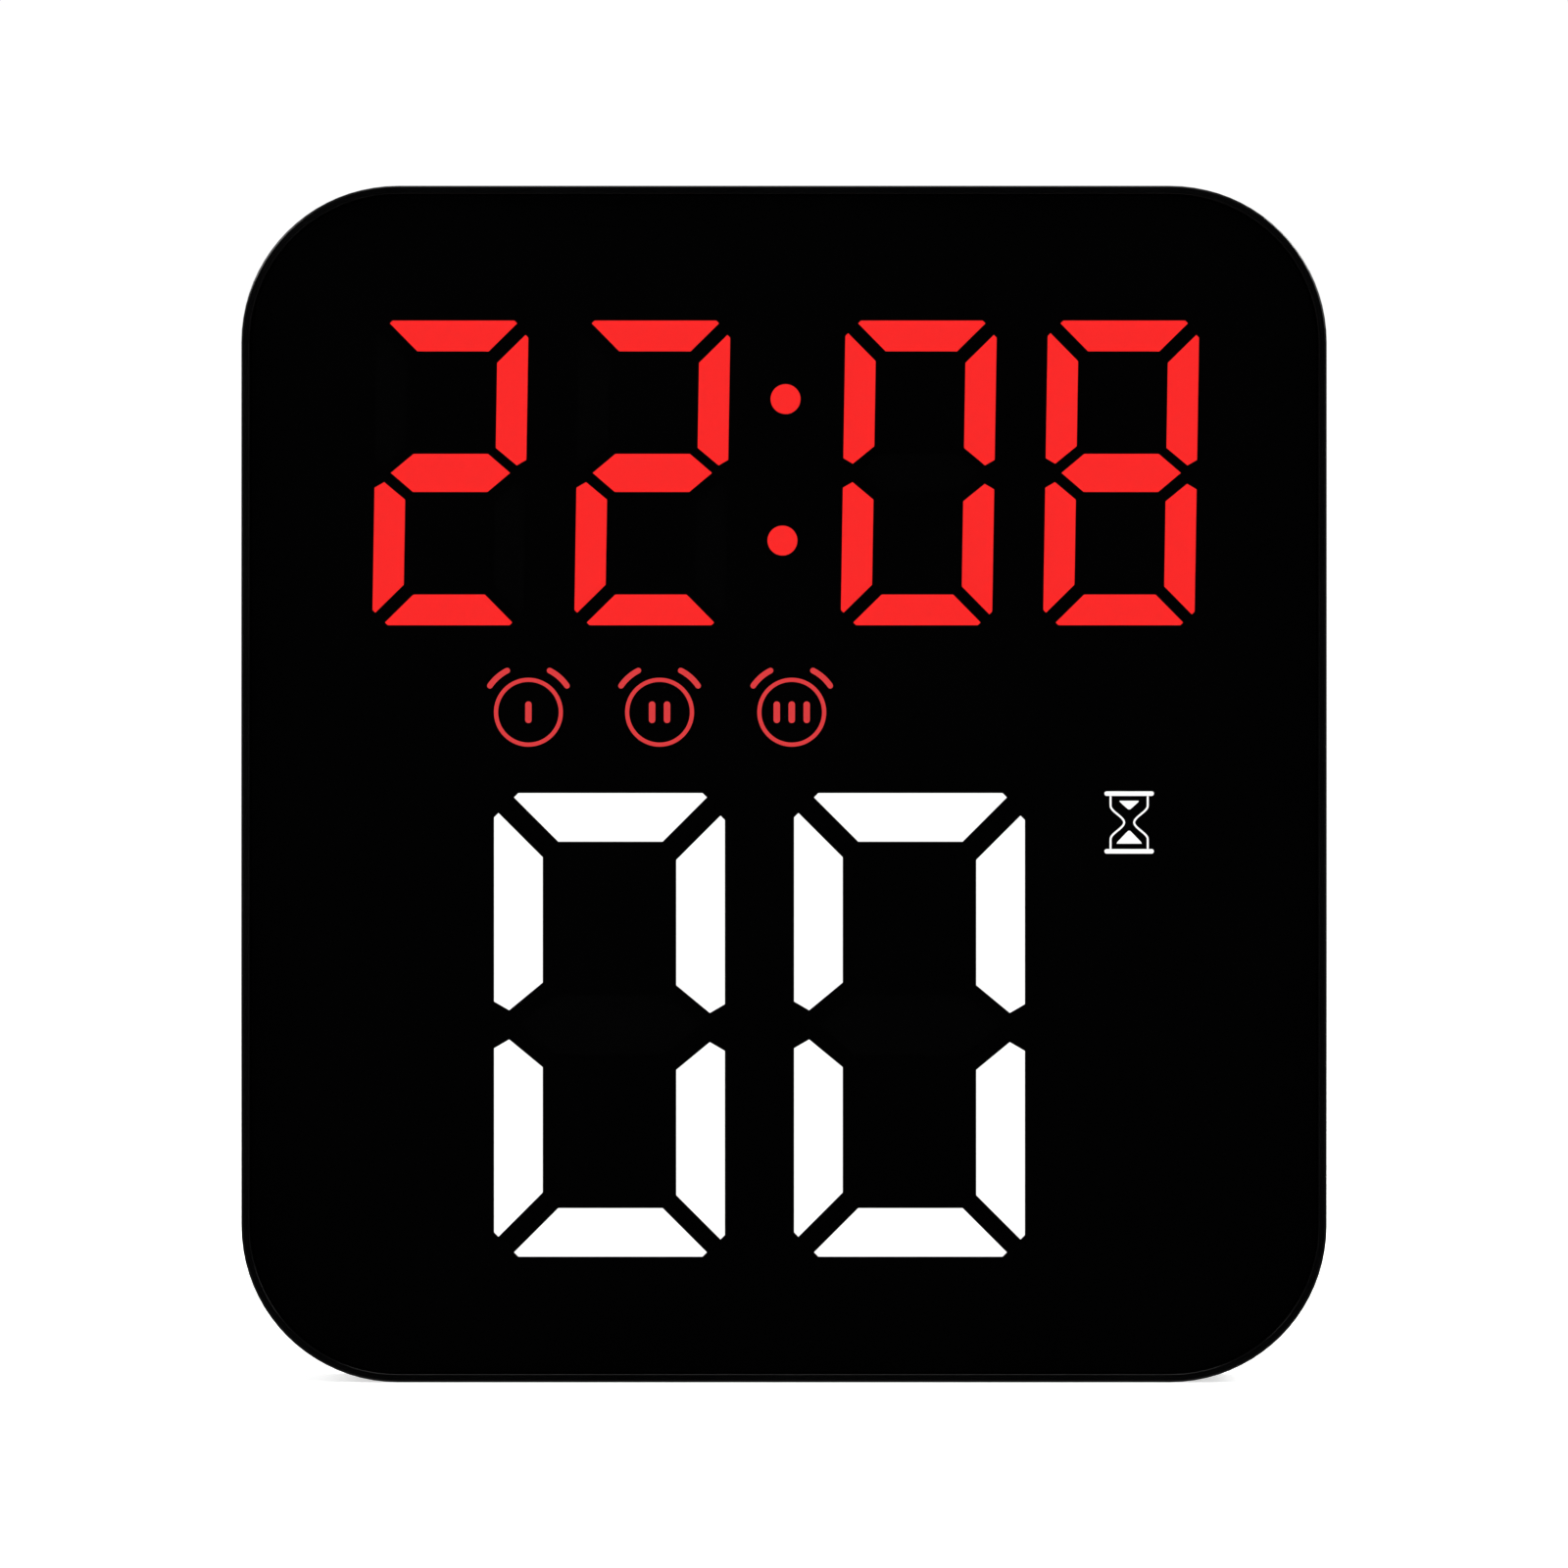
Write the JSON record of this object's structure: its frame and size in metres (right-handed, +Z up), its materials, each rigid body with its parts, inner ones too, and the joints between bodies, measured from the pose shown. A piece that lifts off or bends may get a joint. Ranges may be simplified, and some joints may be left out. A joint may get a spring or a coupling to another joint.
{
  "type": "gym round timer",
  "caption": "Flat portrait LED round timer with a smoked front, clock and seconds digits, rear keys, folding stand and wall keyholes.",
  "frame": {"origin": "middle of the bottom edge, half way through the depth, on the surface the timer stands on", "axes": "+Z up, +Y to the rear (the wall side), +X to the right as seen from the front"},
  "size_m": [0.21, 0.028, 0.2315],
  "materials": {
    "smoked_acrylic": "polished smoked acrylic, near black",
    "black_gloss": "black, smooth moulded",
    "black_case": "black, fine spark-eroded texture",
    "black_film": "printed black film",
    "foam_tape": "black adhesive tape",
    "red_filter": "red diffusing film, lit",
    "white_filter": "white diffusing film, lit",
    "white_reflector": "white moulded",
    "circuit_board": "green solder mask",
    "chip_black": "moulded package",
    "tinned_steel": "tin or nickel plated",
    "zinc_steel": "zinc plated",
    "key_rubber": "dark grey, fine texture",
    "rubber": "matt black rubber",
    "wire_grey": "grey insulation",
    "label_silver": "satin silver, blank"
  },
  "bodies": {
    "housing": {"front_case": "black_gloss", "front_lens": "smoked_acrylic", "rear_cover": "black_case", "foot_pad_left": "rubber", "foot_pad_right": "rubber", "rating_label": "label_silver", "usb_c_socket": "tinned_steel", "stand_pin": "zinc_steel", "case_screw_1": "zinc_steel", "case_screw_2": "zinc_steel", "case_screw_3": "zinc_steel", "case_screw_4": "zinc_steel", "lens_gasket": "foam_tape", "mask_film": "black_film", "clock_filter": "red_filter", "seconds_filter": "white_filter", "clock_reflector": "white_reflector", "icon_light_box": "white_reflector", "seconds_reflector": "white_reflector", "main_pcb": "circuit_board", "mcu": "chip_black", "led_driver": "chip_black", "crystal": "tinned_steel", "capacitor_1": "chip_black", "capacitor_2": "chip_black", "buzzer": "chip_black", "ir_receiver": "chip_black", "light_sensor": "label_silver", "key_pcb": "circuit_board", "key_ribbon": "wire_grey", "slide_switch_body": "tinned_steel", "power_pcb": "circuit_board", "power_lead": "wire_grey", "coin_cell": "tinned_steel", "battery_contact_negative": "tinned_steel", "battery_contact_positive": "tinned_steel", "tact_switch_1": "chip_black", "tact_switch_2": "chip_black", "tact_switch_3": "chip_black", "tact_switch_4": "chip_black", "tact_switch_5": "chip_black", "board_screw_1": "zinc_steel", "board_screw_2": "zinc_steel", "board_screw_3": "zinc_steel", "board_screw_4": "zinc_steel"},
    "key_mode": {"button_mode": "key_rubber", "switch_stem_1": "wire_grey"},
    "key_set": {"button_set": "key_rubber", "switch_stem_2": "wire_grey"},
    "key_up": {"button_up": "key_rubber", "switch_stem_3": "wire_grey"},
    "key_down": {"button_down": "key_rubber", "switch_stem_4": "wire_grey"},
    "key_start": {"button_start": "key_rubber", "switch_stem_5": "wire_grey"},
    "slider": {"slide_switch_knob": "key_rubber"},
    "stand": {"stand_leg": "black_case", "stand_foot": "rubber"},
    "hatch": {"battery_cover": "black_case"}
  },
  "joints": [
    {"name": "press_mode", "type": "slide", "parent": "housing", "child": "key_mode", "axis": [0, -1, 0], "range_m": [0, 0.0008], "stiffness_N_per_m": 1000, "springref_m": -0.0005},
    {"name": "press_set", "type": "slide", "parent": "housing", "child": "key_set", "axis": [0, -1, 0], "range_m": [0, 0.0008], "stiffness_N_per_m": 1000, "springref_m": -0.0005},
    {"name": "press_up", "type": "slide", "parent": "housing", "child": "key_up", "axis": [0, -1, 0], "range_m": [0, 0.0008], "stiffness_N_per_m": 1000, "springref_m": -0.0005},
    {"name": "press_down", "type": "slide", "parent": "housing", "child": "key_down", "axis": [0, -1, 0], "range_m": [0, 0.0008], "stiffness_N_per_m": 1000, "springref_m": -0.0005},
    {"name": "press_start", "type": "slide", "parent": "housing", "child": "key_start", "axis": [0, -1, 0], "range_m": [0, 0.0008], "stiffness_N_per_m": 1000, "springref_m": -0.0005},
    {"name": "slide_switch", "type": "slide", "parent": "housing", "child": "slider", "axis": [1, 0, 0], "range_m": [0, 0.003]},
    {"name": "stand_fold", "type": "hinge", "parent": "housing", "child": "stand", "pos_m": [0, 0.0104, 0.105], "axis": [1, 0, 0], "range_deg": [0, 30]},
    {"name": "battery_cover_off", "type": "slide", "parent": "housing", "child": "hatch", "axis": [0, 1, 0], "range_m": [0, 0.025]}
  ]
}
